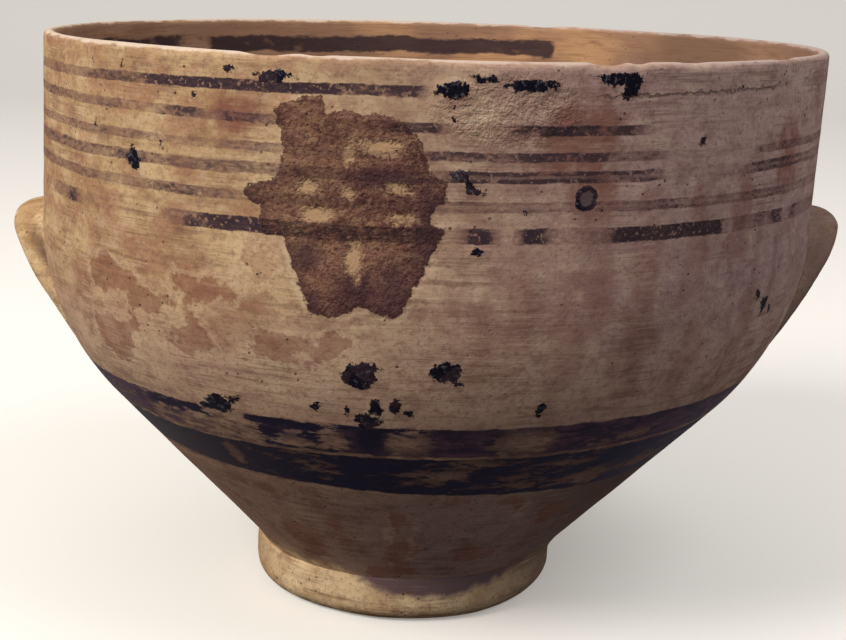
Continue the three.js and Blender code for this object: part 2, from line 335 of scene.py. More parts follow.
class Finish:
    """A material under construction, with short names for its nodes. Lengths are in millimetres."""

    def __init__(self, name):
        self.material = bpy.data.materials.new(name)
        self.material.use_nodes = True
        self.tree = self.material.node_tree
        metres = self.node("TexCoord").outputs["Object"]
        self.place = self.node("VectorMath", {0: metres, "Scale": 1 / MM}, operation="SCALE").outputs[0]
        split = self.node("SeparateXYZ", {0: self.place})
        self.x = split.outputs[0]
        self.z = self.less(split.outputs[2], MARKS_LEVEL)

    def node(self, kind, values=None, **settings):
        return new_node(self.tree, kind, values, **settings)

    def math(self, operation, *values, clamp=False):
        return self.node("Math", dict(enumerate(values)), operation=operation, use_clamp=clamp).outputs[0]

    def chain(self, operation, values):
        total = values[0]
        for value in values[1:]:
            total = self.math(operation, total, value)
        return total

    def add(self, *values):
        return self.chain("ADD", values)

    def times(self, *values):
        return self.chain("MULTIPLY", values)

    def most(self, *values):
        return self.chain("MAXIMUM", values)

    def less(self, a, b):
        return self.math("SUBTRACT", a, b)

    def rest(self, value):
        return self.math("SUBTRACT", 1.0, value)

    def held(self, value):
        """Kept between 0 and 1."""
        return self.math("ADD", value, 0.0, clamp=True)

    def step(self, value, low, high):
        """0 below low and 1 above high, or the other way round where low is the larger."""
        values = {"Value": value, "From Min": low, "From Max": high}
        return self.node("MapRange", values, interpolation_type="SMOOTHSTEP").outputs[0]

    def mix(self, share, below, above):
        return mixed(self.tree, share, below, above)

    def scaled(self, scale, shift):
        """The place on the piece, scaled and then shifted."""
        values = {0: self.place, 1: scale, 2: shift}
        return self.node("VectorMath", values, operation="MULTIPLY_ADD").outputs[0]

    def noise(self, size, detail=3.0, rough=0.55, flatten=1.0, seed=0.0, swirl=0.0):
        """Fractal noise of that size. flatten over 1 draws it out round the bowl, under 1 up and down."""
        scale = (1 / size / flatten, 1 / size / flatten, 1 / size)
        place = self.scaled(scale, (seed, seed * 0.7, seed * 1.3))
        values = {"Vector": place, "Scale": 1.0, "Detail": detail, "Roughness": rough, "Distortion": swirl}
        return self.node("TexNoise", values).outputs[0]

    def cells(self, size, seed=0.0):
        """Distance to the nearest of scattered points, in parts of size."""
        place = self.scaled((1 / size, 1 / size, 1 / size), (seed, seed, seed))
        return self.node("TexVoronoi", {"Vector": place, "Scale": 1.0}).outputs["Distance"]

    def drawn(self, name):
        """A value that the mesh carries at its points."""
        return self.node("Attribute", attribute_name=name).outputs["Fac"]

    def signed(self, value, reach):
        """Noise turned from 0..1 into a length that swings by about reach each way."""
        return self.math("MULTIPLY", self.math("SUBTRACT", value, 0.5), reach * 2)

    def swing(self, reach, size, **kind):
        """Noise of that size as a length that swings by about reach each way."""
        return self.signed(self.noise(size, **kind), reach)

    def tint(self, color, code, *shares):
        """The colour with a tone over it, as much as the product of the shares."""
        return self.mix(self.times(*shares), color, tone(code))

    def fade(self, value, low, high, below, above):
        """One tone where the value is below low and another where it is above high."""
        return self.mix(self.step(value, low, high), tone(below), tone(above))

    def close(self, color, roughness, relief):
        """relief is a height in millimetres."""
        bump = self.node("Bump", {"Distance": MM, "Height": relief})
        give(self.tree, self.tree.nodes["Principled BSDF"], {
            "Base Color": color, "Roughness": roughness, "Normal": bump.outputs[0],
            "Specular IOR Level": CLAY_SHEEN})
        return self.material


def bare_slip(f):
    """The pale slip, mottled in yellow and pink: tan on the left, greyer and more mauve to the right.
    Greying to the right is painted shade with some stain; paler high on the right is painted light.
    """
    color = f.fade(f.noise(22), 0.38, 0.64, "c6a67d", "ab8863")
    patchy = f.noise(9, detail=4, rough=0.64, seed=4, flatten=1.3)
    color = f.tint(color, "a4755c", f.step(patchy, 0.47, 0.56), 0.5)
    color = f.tint(color, "d0b38a", f.step(patchy, 0.46, 0.36), 0.4)
    # Greyer, darker and more mauve to the right: painted shade, with some stain
    color = f.tint(color, "9a8085", f.step(f.x, -70, 85), 0.78)
    color = f.tint(color, "d6b5a2", f.step(f.z, 118, 92), 0.46)
    # Paler high on the right: painted light
    color = f.tint(color, "bb9d92", f.step(f.x, -5, 75), f.step(f.z, 122, 150), 0.58)
    mottle = f.noise(4.2, detail=4, rough=0.7, flatten=1.5, seed=9)
    color = f.tint(color, "7c5d52", f.step(mottle, 0.5, 0.64), 0.42)
    return f.tint(color, "cfb99c", f.step(mottle, 0.48, 0.34), 0.32)


def worked(f, color):
    """Level wiping lines and the clay's grain, over any slip. Gives the colour and the lines."""
    fine = f.noise(0.5, detail=1, flatten=24, seed=2)
    coarse = f.noise(1.9, detail=2, flatten=12, seed=7)
    lines = f.add(f.times(fine, 0.5), f.times(coarse, 0.5))
    shown = f.step(f.noise(24, detail=1, seed=12), 0.4, 0.62)
    color = f.tint(color, "6f5345", f.step(lines, 0.5, 0.62), f.add(0.12, f.times(shown, 0.32)))
    color = f.tint(color, "dac3a6", f.step(lines, 0.48, 0.36), f.times(shown, 0.2))
    grain = f.noise(1.3, rough=0.75, seed=18)
    return f.tint(color, "6c5043", f.step(grain, 0.5, 0.66), 0.38), lines


def stained(f, color):
    """Red stains, tide marks with pale veins beside them, streaks to the right and smears of pale slip,
    which by the handles are partly a painted highlight on the roots' ridges.
    """
    blotch = f.noise(8, rough=0.6, seed=21, flatten=0.8)
    stain = f.add(f.drawn("stain"), f.signed(blotch, 1.1), f.swing(0.6, 3, rough=0.7, seed=24))
    more_high_up = f.add(0.28, f.times(f.step(f.z, 132, 146), 0.42))
    color = f.tint(color, "7d4a3d", f.step(stain, 0.1, 1.0), more_high_up)
    streaks = f.step(f.noise(60, detail=2, flatten=0.14, seed=40), 0.48, 0.66)
    color = f.tint(color, "75524a", streaks, f.step(f.x, -10, 60), f.step(f.z, 150, 110), 0.4)
    edge = f.add(f.drawn("tide"), f.swing(13.0, 13, detail=5, rough=0.66, seed=31, flatten=1.4))
    color = f.tint(color, "885747", f.step(edge, -0.4, 0.4), f.add(0.2, f.times(blotch, 0.66)))
    vein = f.times(f.step(edge, -3.2, -1.4), f.step(edge, -0.3, -0.9))
    color = f.tint(color, "d0b191", vein, f.step(f.z, 80, 90), f.step(f.x, 0, -25), 0.38)
    slip = f.step(f.add(f.drawn("pale"), f.swing(5.0, 3.4, rough=0.65, seed=35)), -0.6, 1.2)
    # Stronger by the handles, where the pale smears are partly a painted highlight on the roots' ridges
    at_handle = f.step(f.math("ABSOLUTE", f.x), 96, 110)
    pale = f.fade(f.x, -60, 60, "dfc195", "cab2a5")
    return f.mix(f.times(slip, f.add(0.35, f.times(at_handle, 0.4))), color, pale)


def crusted(f, color):
    """The brown crust, with tan islands and a pale flaked edge below. Gives the colour and its mask."""
    edge = f.add(f.drawn("crust"), f.swing(2.4, 2.6, detail=5, rough=0.75, seed=50))
    crust = f.step(edge, -0.1, 0.2)
    curl = f.noise(1.5, rough=0.7, seed=55, swirl=1.0)
    patch = f.noise(6.5, rough=0.6, seed=58, flatten=1.3)
    islands = f.noise(4, detail=4, rough=0.7, flatten=1.7, seed=59)
    brown = f.fade(patch, 0.38, 0.6, "5a3835", "7c5549")
    brown = f.tint(brown, "957456", f.step(islands, 0.47, 0.62), f.step(f.z, 112, 135), 0.48)
    brown = f.tint(brown, "9c7a66", f.step(curl, 0.5, 0.62), 0.45)
    brown = f.tint(brown, "40262a", f.step(curl, 0.47, 0.36), 0.7)
    brown = f.tint(brown, "3a2430", f.drawn("dark"), 0.7)
    bare = f.step(f.add(f.drawn("islands"), f.signed(curl, 1.8), f.signed(patch, 2.6)), -1.2, 1.0)
    brown = f.tint(brown, "bd9a76", bare, 0.86)
    brown = f.tint(brown, "41262f", f.step(edge, 2.6, 0.3), f.step(f.z, 152, 138), 0.55)
    flaked = f.times(f.step(edge, -2.6, -1.0), f.step(edge, -0.2, -0.6))
    color = f.tint(color, "d3b79a", flaked, f.step(f.z, 134, 126), f.step(islands, 0.42, 0.54), 0.6)
    return f.mix(f.times(crust, 0.95), color, brown), f.times(crust, f.rest(f.times(bare, 0.8)))


def band_share(f, band, wobble):
    """Where one thin band lies, 0 to 1, before wear."""
    level = f.less(f.less(f.z, f.times(f.x, band["tilt"] / TILT_REACH)), band["height"])
    off = f.math("ABSOLUTE", f.add(level, wobble))
    half = band["width"] / 2
    share = f.step(off, half + 0.2, half - 0.2)
    if band.get("double"):
        middle = f.times(f.step(off, 0.6, 0.25), f.step(f.x, -30, 10))
        share = f.times(share, f.rest(f.times(middle, 0.35)))
    return share


def thin_bands(f, color, crust):
    """The six thin bands, rubbed thin in places. Gives the colour and their mask."""
    ragged = f.swing(0.5, 1.2, detail=2, rough=0.7, flatten=2.2, seed=62)
    wobble = f.add(f.swing(0.6, 24, detail=1, seed=60), ragged)
    share = 0.0
    for band in THIN_BANDS:
        share = f.most(share, band_share(f, band, wobble))
    left = f.drawn("bands")
    rubbed = f.noise(1.1, rough=0.68, flatten=2.4, seed=61)
    cover = f.add(f.times(left, 1.1), f.signed(rubbed, 0.6), f.swing(0.5, 7, detail=2, flatten=2.2, seed=64))
    crumbs = f.step(f.noise(1.2, detail=1, seed=66), 0.6, 0.68)
    cover = f.times(f.held(cover), f.step(left, 0.03, 0.2), f.rest(f.times(crumbs, 0.35)))
    paint = f.fade(cover, 0.62, 1.0, "70504c", "3b2e35")
    paint = f.tint(paint, "5b4644", f.step(rubbed, 0.45, 0.62), 0.5)
    paint = f.tint(paint, "281e21", crust, 0.8)
    under_crust = f.times(crust, f.add(0.15, f.times(f.step(rubbed, 0.42, 0.6), 0.5)))
    shown = f.times(share, cover, f.rest(under_crust))
    return f.mix(shown, color, paint), shown


def wide_bands(f, color):
    """The two wide bands low on the shoulder. Gives the colour and their mask."""
    streak = f.noise(2.0, detail=5, rough=0.72, flatten=3.4, seed=85)
    patch = f.noise(9, flatten=2.4, seed=88)
    scuff = f.add(f.times(streak, 0.55), f.times(patch, 0.45))
    level = f.add(f.z, f.swing(1.1, 3.2, rough=0.7, flatten=2.2, seed=80))
    bottom = f.add(WIDE_BOTTOM, f.times(f.x, WIDE_BOTTOM_TILT / TILT_REACH))
    over_bottom = f.step(level, f.less(bottom, 0.3), f.add(bottom, 0.3))
    lower = f.times(over_bottom, f.step(level, FREE_LINE + 0.3, FREE_LINE - 0.2))
    free_top = FREE_LINE + FREE_LINE_WIDTH
    upper = f.times(f.step(level, free_top, free_top + 0.5), f.step(level, WIDE_TOP + 0.3, WIDE_TOP - 0.3))
    ragged = f.add(f.signed(streak, 7.5), f.signed(patch, 4.0))
    worn = f.step(f.add(f.drawn("worn"), ragged, 0.3), -1.3, 1.7)
    whole = f.step(f.add(f.drawn("whole"), f.signed(streak, 5.5), 0.3), -0.9, 1.1)
    left = f.add(f.times(f.drawn("wide"), 1.1), f.signed(scuff, 1.3))
    amount = f.add(left, f.times(worn, -0.9), f.times(whole, 1.3))
    upper_cover = f.times(f.step(amount, 0.15, 0.8), upper)
    scuffed = f.times(f.step(scuff, 0.56, 0.66), 0.3)
    lower_cover = f.times(f.rest(f.times(worn, 0.85)), f.rest(scuffed), lower)
    mauve = f.tint(f.fade(streak, 0.42, 0.6, "302838", "584252"), "1f1c2d", whole)
    # Grey-violet at the left, navy to the right: the paler left is partly own tone, partly painted light
    navy = f.fade(f.x, -75, -25, "363038", "131124")
    navy = f.tint(navy, "352b37", f.step(streak, 0.5, 0.66), 0.6)
    between = f.times(f.step(level, WIDE_BOTTOM, WIDE_BOTTOM + 2), f.step(level, WIDE_TOP, WIDE_TOP - 1))
    color = f.tint(color, "735855", between, f.add(0.3, f.times(f.step(streak, 0.44, 0.58), 0.6)))
    color = f.mix(upper_cover, color, mauve)
    return f.mix(lower_cover, color, navy), f.most(upper_cover, lower_cover)


def pits_in(f, cells, places, low):
    """Small pits in the middles of cells, where the noise of places is over low."""
    return f.times(f.step(cells, 0.14, 0.07), f.step(places, low, low + 0.12))


def deposits(f, color):
    """Black deposits with broken edges and painted highlights, the plug, the crack and pits. Gives the
    colour and two masks.
    """
    coarse = f.noise(2.6, detail=4, rough=0.75, seed=100)
    spot = f.step(f.add(f.drawn("spots"), f.signed(coarse, 2.6)), 0.0, 0.25)
    ink = f.fade(f.noise(13, detail=2, seed=106), 0.5, 0.56, "12101c", "33262f")
    # Grey flecks on the black deposits: painted highlights on their raised facets
    ink = f.tint(ink, "57535a", f.step(f.noise(1.4, rough=0.7, seed=104), 0.55, 0.68))
    plug = f.add(f.drawn("plug"), f.signed(coarse, 1.1))
    color = f.tint(color, "5b4b4d", f.step(plug, -0.1, 0.2))
    ring = f.times(f.step(plug, -0.7, -0.35), f.step(plug, 0.9, 0.2), f.step(coarse, 0.3, 0.42))
    spot = f.most(spot, ring)
    color = f.mix(spot, color, ink)
    level = f.add(f.less(f.z, CRACK_HEIGHT), f.times(f.x, -CRACK_TILT / TILT_REACH), f.signed(coarse, 2.0))
    crack = f.times(f.step(f.math("ABSOLUTE", level), 0.4, 0.15), f.step(f.drawn("cracked"), 0.0, 1.0))
    pits = pits_in(f, f.cells(3.4, seed=5), f.noise(17, detail=1, seed=110), 0.48)
    pits = f.most(pits, f.times(crack, 0.8))
    return f.tint(color, "493730", pits, 0.75), spot, pits


def cone_wash(f, color):
    """The cone's thin mauve-brown wash, partly stain and partly painted shade, with more painted shade on
    its right, which stops over the foot in a wavy line and leaves it cream.
    """
    on_cone = f.step(f.z, 58, 50)
    # Darker and greyer on the cone: part stain wash, part painted shade where the cone faces down
    color = f.mix(f.times(on_cone, 0.55), color, f.fade(f.x, -45, 15, "846860", "7f6c76"))
    # Much darker on the cone's right: painted shade
    color = f.tint(color, "3b3037", on_cone, f.step(f.x, 22, 66), 0.85)
    drips = f.noise(30, flatten=0.3, seed=170, rough=0.6)
    color = f.tint(color, "66463c", f.step(drips, 0.5, 0.66), on_cone, 0.4)
    return f.mix(f.times(cream_part(f), 0.85), color, cream_slip(f))


def cream_part(f):
    """1 below the wash's lower edge, which dips over the foot at the front."""
    from_dip = f.times(f.less(f.x, WASH_DIP_PLACE), 1 / WASH_DIP_HALF_WIDTH)
    rise = f.math("MINIMUM", f.times(from_dip, from_dip, WASH_RISE), WASH_MOST_RISE)
    edge = f.add(
        rise, WASH_DIP_HEIGHT, f.swing(2.8, 7, seed=175), f.swing(1.2, 2, seed=176))
    return f.step(f.z, f.add(edge, 1.8), f.less(edge, 1.8))


def cream_slip(f):
    """The foot's cream, darker at its far left, greyer and darker to the right as painted shade, and stained
    in patches.
    """
    color = f.fade(f.noise(11, seed=3), 0.4, 0.64, "efd1a4", "d8b48a")
    color = f.tint(color, "b08c68", f.step(f.x, -38, -52), 0.55)
    # Greyer and darker to the right: painted shade
    color = f.tint(color, "b0957f", f.step(f.x, -10, 40), 0.62)
    color = f.tint(color, "5d4b45", f.step(f.x, 26, 44), 0.64)
    return f.tint(color, "8f6d4f", f.step(f.noise(4.5, detail=4, rough=0.66, seed=8), 0.5, 0.68), 0.5)


def inner_side(f, color, lines):
    """The inside, with its own worn dark band, and the pale worn lip."""
    cloud = f.noise(15, seed=120, flatten=1.8)
    # Lighter to the right: painted light where the lamp falls on the inside wall
    inner = f.fade(f.x, -60, 10, "a38066", "bb906a")
    inner = f.tint(inner, "93705a", f.step(cloud, 0.38, 0.64))
    inner = f.tint(inner, "8e6f5e", f.step(f.x, 55, 85), 0.6)
    inner = f.tint(inner, "785d4c", f.step(f.x, 74, 88), f.step(f.x, 112, 103), 0.75)
    soaked = f.noise(21, detail=6, rough=0.62, flatten=1.9, seed=122)
    inner = f.tint(inner, "7d5646", f.step(f.z, 163, 155), f.step(soaked, 0.4, 0.68), 0.55)
    inner = f.tint(inner, "805f4b", f.step(f.z, 130, 25), 0.45)
    inner = f.tint(inner, "735443", f.step(lines, 0.48, 0.64), 0.42)
    ragged = f.swing(1.4, 2.4, rough=0.7, flatten=2.5, seed=125)
    level = f.add(f.z, f.signed(cloud, 3.0), ragged)
    over_bottom = f.step(level, INNER_BAND_BOTTOM - 0.6, INNER_BAND_BOTTOM + 0.6)
    band = f.times(over_bottom, f.step(level, INNER_BAND_TOP + 0.6, INNER_BAND_TOP - 0.6))
    amount = f.add(f.times(f.drawn("inner_band"), 1.25), f.swing(1.0, 5, flatten=2, seed=128))
    inner = f.tint(inner, "32272f", band, f.step(amount, 0.3, 0.9), 0.9)
    color = f.mix(f.drawn("inside"), color, inner)
    lip = f.step(f.add(f.z, f.swing(1.3, 3.4, seed=130, flatten=2)), 173.8, 174.5)
    return f.mix(f.times(lip, 0.7), color, f.fade(f.x, -40, 80, "d9c6b4", "bda9a0"))


def painted_clay():
    """The body's clay with all its paint, crust and dirt."""
    f = Finish("painted_clay")
    color = stained(f, cone_wash(f, bare_slip(f)))
    color, lines = worked(f, color)
    color, crust = crusted(f, color)
    color, thin = thin_bands(f, color, crust)
    color, wide = wide_bands(f, color)
    color, spot, pits = deposits(f, color)
    color = inner_side(f, color, lines)
    ground = f.noise(1.1, rough=0.65, seed=147)
    ground_depth = f.add(0.13, f.times(crust, 0.75), f.times(spot, 0.6), f.drawn("flakes"))
    relief = f.add(
        f.times(lines, 0.07), f.times(ground, ground_depth), f.times(crust, 0.22), f.times(spot, 0.12),
        f.times(thin, 0.03), f.times(wide, 0.03), f.times(pits, -0.3))
    roughness = f.less(0.88, f.times(f.most(wide, spot), 0.16))
    return f.close(color, roughness, relief)


def handle_clay():
    """Buff slip for the handles: darker on the right handle as painted shade, pale patches on the left one,
    partly rubbed and partly painted light, and painted shade in the left one's grooves.
    """
    f = Finish("handle_clay")
    color = f.fade(f.noise(12, seed=3), 0.4, 0.64, "d4b288", "b8956d")
    # Darker on the right handle: painted shade
    color = f.tint(color, "7b6662", f.step(f.x, -70, 105), 0.85)
    color = f.tint(color, "84634b", f.step(f.noise(5, detail=4, rough=0.66, seed=8), 0.52, 0.68), 0.5)
    rubbed = f.step(f.noise(7, seed=13), 0.54, 0.66)
    # Pale patches on the left handle only: partly rubbed slip, partly painted light
    color = f.tint(color, "e2c9a4", rubbed, f.step(f.x, 60, -60), 0.6)
    # Dark in the left handle's grooves: painted shade
    color = f.tint(color, "503a31", f.drawn("groove"), f.step(f.x, 90, -90), 0.9)
    return finish_plain(f, color)


def foot_clay():
    """Cream slip for the foot, with the cone's wash running over its top at the front."""
    f = Finish("foot_clay")
    color = cone_wash(f, tone("4a3630"))
    rubbed = f.times(f.step(f.z, 2.5, 0.5), f.step(f.noise(5, seed=180), 0.4, 0.6))
    return finish_plain(f, f.tint(color, "7d6149", rubbed, 0.5))


def finish_plain(f, color):
    """Wiping lines, pits and fine relief over a slip without paint."""
    color, lines = worked(f, color)
    pits = pits_in(f, f.cells(3.6, seed=2), f.noise(12, detail=1, seed=6), 0.46)
    color = f.tint(color, "54402f", pits, 0.7)
    grain = f.times(f.noise(1.3, rough=0.65, seed=11), 0.22)
    relief = f.add(f.times(lines, 0.05), grain, f.times(pits, -0.25))
    return f.close(color, 0.87, relief)


def add_object(name, data):
    thing = bpy.data.objects.new(name, data)
    bpy.context.scene.collection.objects.link(thing)
    return thing


# The body's mesh
def outline():
    """(radius, height, inside) of each row, from the recess below, over the lip, to the inner floor."""
    outer = RIM_RADIUS - SKIN
    rows = [(r, RECESS_DEPTH, 0) for r in np.linspace(FAN_RADIUS, cone_radius(RECESS_DEPTH) - 1.5 * MM, 6)]
    for height in steps(RECESS_DEPTH, cone_top, SIDE_ROW):
        waist = WAIST_FILLET * (1 - smooth(height, FOOT_HEIGHT - 2 * MM, FOOT_HEIGHT + 6 * MM))
        rows.append((cone_radius(height) - SKIN / cos(CONE_ANGLE) + waist, height, 0))
    rows += shoulder(SKIN, SIDE_ROW, 0)
    rows += [(outer, height, 0) for height in steps(shoulder_top, HEIGHT - LIP_THICKNESS / 2, WALL_ROW)]
    half = (LIP_THICKNESS - SKIN) / 2
    for i in range(LIP_STEPS + 1):
        angle = pi * i / LIP_STEPS
        radius = outer - half + half * cos(angle)
        rows.append((radius, HEIGHT - half + half * sin(angle), i / LIP_STEPS))
    for share in steps(0, 1, SIDE_ROW / LIP_DEPTH)[1:]:
        radius = RIM_RADIUS - LIP_THICKNESS + (LIP_THICKNESS - WALL) * share
        rows.append((radius, HEIGHT - half + (half - LIP_DEPTH) * share, 1))
    below_lip = steps(HEIGHT - LIP_DEPTH, shoulder_top, INSIDE_ROW)[1:]
    rows += [(RIM_RADIUS - WALL, height, 1) for height in below_lip]
    rows += shoulder(WALL, INSIDE_ROW, 1)[::-1]
    return rows + inner_floor()


def cone_radius(height):
    return CONE_BASE_RADIUS + cone_slope * height


def steps(start, end, size):
    """Even steps of about size, without the end."""
    count = max(2, round(abs(end - start) / size))
    return [start + (end - start) * i / count for i in range(count)]


def shoulder(inset, size, inside):
    """Rows of the round shoulder going up, by that inset into the clay."""
    centre = RIM_RADIUS - SHOULDER_ROUND
    radius = SHOULDER_ROUND - inset
    return [
        (centre + radius * cos(angle), shoulder_top + radius * sin(angle), inside)
        for angle in steps(-CONE_ANGLE, 0, size / radius)]


def inner_floor():
    """Rows of the cone's inside going down, its round into the floor, and the floor."""
    floor = RECESS_DEPTH + FLOOR_THICKNESS
    wall = WALL / cos(CONE_ANGLE)
    centre = cone_radius(floor) - wall - INNER_FLOOR_ROUND * tan((pi / 2 - CONE_ANGLE) / 2)
    turn_height = floor + INNER_FLOOR_ROUND * (1 - sin(CONE_ANGLE))
    start = cone_top + WALL * sin(CONE_ANGLE)
    rows = [(cone_radius(height) - wall, height, 1) for height in steps(start, turn_height, INSIDE_ROW)[1:]]
    for angle in steps(-CONE_ANGLE, -pi / 2, INSIDE_ROW / INNER_FLOOR_ROUND):
        height = floor + INNER_FLOOR_ROUND * (1 + sin(angle))
        rows.append((centre + INNER_FLOOR_ROUND * cos(angle), height, 1))
    return rows + [(radius, floor, 1) for radius in np.linspace(centre, FAN_RADIUS, 5)]


def outside_radius(height):
    """The radius of the bowl's outside at a height."""
    if height >= shoulder_top:
        return RIM_RADIUS
    if height <= cone_top:
        return cone_radius(height)
    return RIM_RADIUS - SHOULDER_ROUND + sqrt(SHOULDER_ROUND ** 2 - (shoulder_top - height) ** 2)


def smooth(value, low, high):
    """0 below low and 1 above high with a soft step between, or the other way round."""
    share = np.clip((value - low) / (high - low), 0, 1)
    return share * share * (3 - 2 * share)


def lumps(points, size, seed):
    """Smooth noise at each point, about -1 to 1."""
    moved = points / size + seed
    return np.array([noise.noise(Vector(p)) for p in moved])


# Marks on the body
def spot_distance(angles, heights, spot):
    """How far inside a spot's oval each point is, in millimetres, less than 0 outside."""
    angle, height, half_width, half_height = spot
    across = np.radians(angles - angle) * outside_radius(height * MM) / MM
    up = heights - height
    return (1 - np.hypot(across / half_width, up / half_height)) * min(half_width, half_height)


def nearest_spot(angles, heights, spots):
    """How far inside the nearest spot each point is, in millimetres, less than 0 outside."""
    deepest = np.full(angles.shape, FAR_OUTSIDE)
    for spot in spots:
        deepest = np.maximum(deepest, spot_distance(angles, heights, spot))
    return deepest


def soft_spots(angles, heights, spots):
    """1 in the middle of a spot, fading to 0 some way outside it."""
    share = np.zeros(angles.shape)
    for spot in spots:
        share = np.maximum(share, np.clip(0.5 + spot_distance(angles, heights, spot) / min(spot[2:]), 0, 1))
    return share


def crust_distance(angles, heights):
    """How far inside the crust's outline each point is, in millimetres, less than 0 outside."""
    to_mm = radians(1) * RIM_RADIUS / MM
    x, y = angles * to_mm, heights
    corners = np.array([(a * to_mm, h) for a, h in CRUST_OUTLINE])
    nearest = np.full(x.shape, np.inf)
    inside = np.zeros(x.shape, bool)
    for (x0, y0), (x1, y1) in zip(corners, np.roll(corners, -1, axis=0)):
        along = ((x - x0) * (x1 - x0) + (y - y0) * (y1 - y0)) / ((x1 - x0) ** 2 + (y1 - y0) ** 2)
        along = np.clip(along, 0, 1)
        nearest = np.minimum(nearest, np.hypot(x - x0 - along * (x1 - x0), y - y0 - along * (y1 - y0)))
        crosses = ((y0 > y) != (y1 > y)) & (x < x0 + (y - y0) * (x1 - x0) / (y1 - y0 + 1e-12))
        inside ^= crosses
    return np.where(inside, nearest, -nearest)


def paint_left(angles, runs, unseen):
    """How much of a band is left, with the ends of its runs faded."""
    left = np.zeros(angles.shape)
    for shift in (-RUN_FADE, -RUN_FADE / 2, 0, RUN_FADE / 2, RUN_FADE):
        part = np.full(angles.shape, unseen)
        for start, share in runs:
            part[angles + shift >= start] = unseen if share is None else share
        left += part / 5
    return left


def band_paint(angles, heights):
    """What is left of the thin band that is nearest."""
    nearest = np.full(angles.shape, np.inf)
    left = np.zeros(angles.shape)
    for band in THIN_BANDS:
        off = np.abs(heights - band["height"])
        left = np.where(off < nearest, paint_left(angles, band["runs"], PAINT_LEFT_UNSEEN), left)
        nearest = np.minimum(nearest, off)
    return left


def values_at(angles, heights, inside):
    """What the painted clay reads at each point. Angles in degrees and heights in millimetres."""
    outer = inside == 0
    distances = {name: nearest_spot(angles, heights, spots) for name, spots in SPOT_MARKS.items()}
    distances["crust"] = crust_distance(angles, heights)
    values = {
        name: np.where(outer, np.clip(value, FAR_OUTSIDE, FAR_INSIDE), FAR_OUTSIDE)
        for name, value in distances.items()}
    shares = {
        "stain": soft_spots(angles, heights, RED_STAINS), "dark": soft_spots(angles, heights, CRUST_DARK),
        "flakes": np.clip(1 + spot_distance(angles, heights, FLAKED_PLACE) / 4, 0, 1)}
    values.update({name: np.where(outer, value, 0) for name, value in shares.items()})
    values["bands"] = band_paint(angles, heights)
    values["wide"] = paint_left(angles, WIDE_UPPER_RUNS, WIDE_UPPER_UNSEEN)
    values["inside"] = inside
    values["inner_band"] = paint_left(np.mod(angles, 360), INNER_BAND_RUNS, BARE)
    return values


def tube_faces(index):
    """Four-sided faces between rows of points, each row closed on itself."""
    right = np.roll(index, -1, axis=1)
    return np.stack([index[:-1], right[:-1], right[1:], index[1:]], -1).reshape(-1, 4).tolist()


def revolved(name, rows, angles, closed_ends):
    """A mesh of the rows (radius, height, ...) turned about the axis, before the lean."""
    radius = np.array([row[0] for row in rows])
    height = np.array([row[1] for row in rows])
    a, r = np.meshgrid(angles, radius)
    points = np.stack([r * np.sin(a), -r * np.cos(a), np.broadcast_to(height[:, None], r.shape)], -1)
    count = len(rows)
    index = np.arange(count * len(angles)).reshape(count, len(angles))
    faces = tube_faces(index)
    vertices = points.reshape(-1, 3).tolist()
    if closed_ends:
        for ring in (0, count - 1):
            centre = len(vertices)
            vertices.append((0, 0, float(height[ring])))
            for here, beside in zip(index[ring].tolist(), np.roll(index[ring], -1).tolist()):
                faces.append((centre, beside, here) if ring == 0 else (centre, here, beside))
    else:
        faces += tube_faces(index[[-1, 0]])
    mesh = bpy.data.meshes.new(name)
    mesh.from_pydata(vertices, [], faces)
    return mesh


def points_of(mesh):
    co = np.empty(len(mesh.vertices) * 3)
    mesh.vertices.foreach_get("co", co)
    return co.reshape(-1, 3)


def angles_of(points):
    """The points' places round the axis in degrees, 0 at the front."""
    return np.degrees(np.arctan2(points[:, 0], -points[:, 1]))


def spread(points, by):
    """Move points out from the axis."""
    radius = np.maximum(np.hypot(points[:, 0], points[:, 1]), MM)
    points[:, :2] *= ((radius + by) / radius)[:, None]


def finish_mesh(mesh, points, name, material):
    """Lean the points, put them back and make the object."""
    points[:, 0] += lean_at(points[:, 2])
    mesh.vertices.foreach_set("co", points.ravel())
    mesh.update()
    mesh.shade_smooth()
    mesh.materials.append(material)
    return add_object(name, mesh)


def stand_in(piece, node):
    """Put the piece in the place of a node of the frame."""
    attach(piece, "root")
    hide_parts(node)


def unevenness(points, values, inside):
    """How far the thrown and wiped wall stands off its even form."""
    rings = lumps(points * (0.25, 0.25, 1), 7 * MM, 3) * RING_RELIEF
    broad = lumps(points, 34 * MM, 11) * BROAD_RELIEF
    flaked = values["flakes"] * lumps(points, 3.2 * MM, 23) * FLAKE_RELIEF
    crust = smooth(values["crust"], -0.6, 0.9) * CRUST_RELIEF
    spots = smooth(values["spots"], -0.5, 0.6) * SPOT_RELIEF
    outer = np.minimum(rings + broad + flaked + crust + spots, SKIN)
    return np.where(inside == 0, outer, (broad - BROAD_RELIEF) * inside)


def chipped(angles, heights):
    """How far the worn lip is down at each point, most at its very top."""
    down = np.zeros(angles.shape)
    for angle, half, depth in LIP_CHIPS:
        down = np.maximum(down, depth * MM * (1 - smooth(np.abs(angles - angle), half * 0.2, half * 1.3)))
    turned = np.radians(angles)
    waves = 0.1 * np.sin(3 * turned + 1) + 0.05 * np.sin(11 * turned) + 0.02 * np.sin(29 * turned + 2)
    down += LIP_WORN + waves * MM
    return down * smooth(heights, HEIGHT - LIP_WORN_DEPTH, HEIGHT)


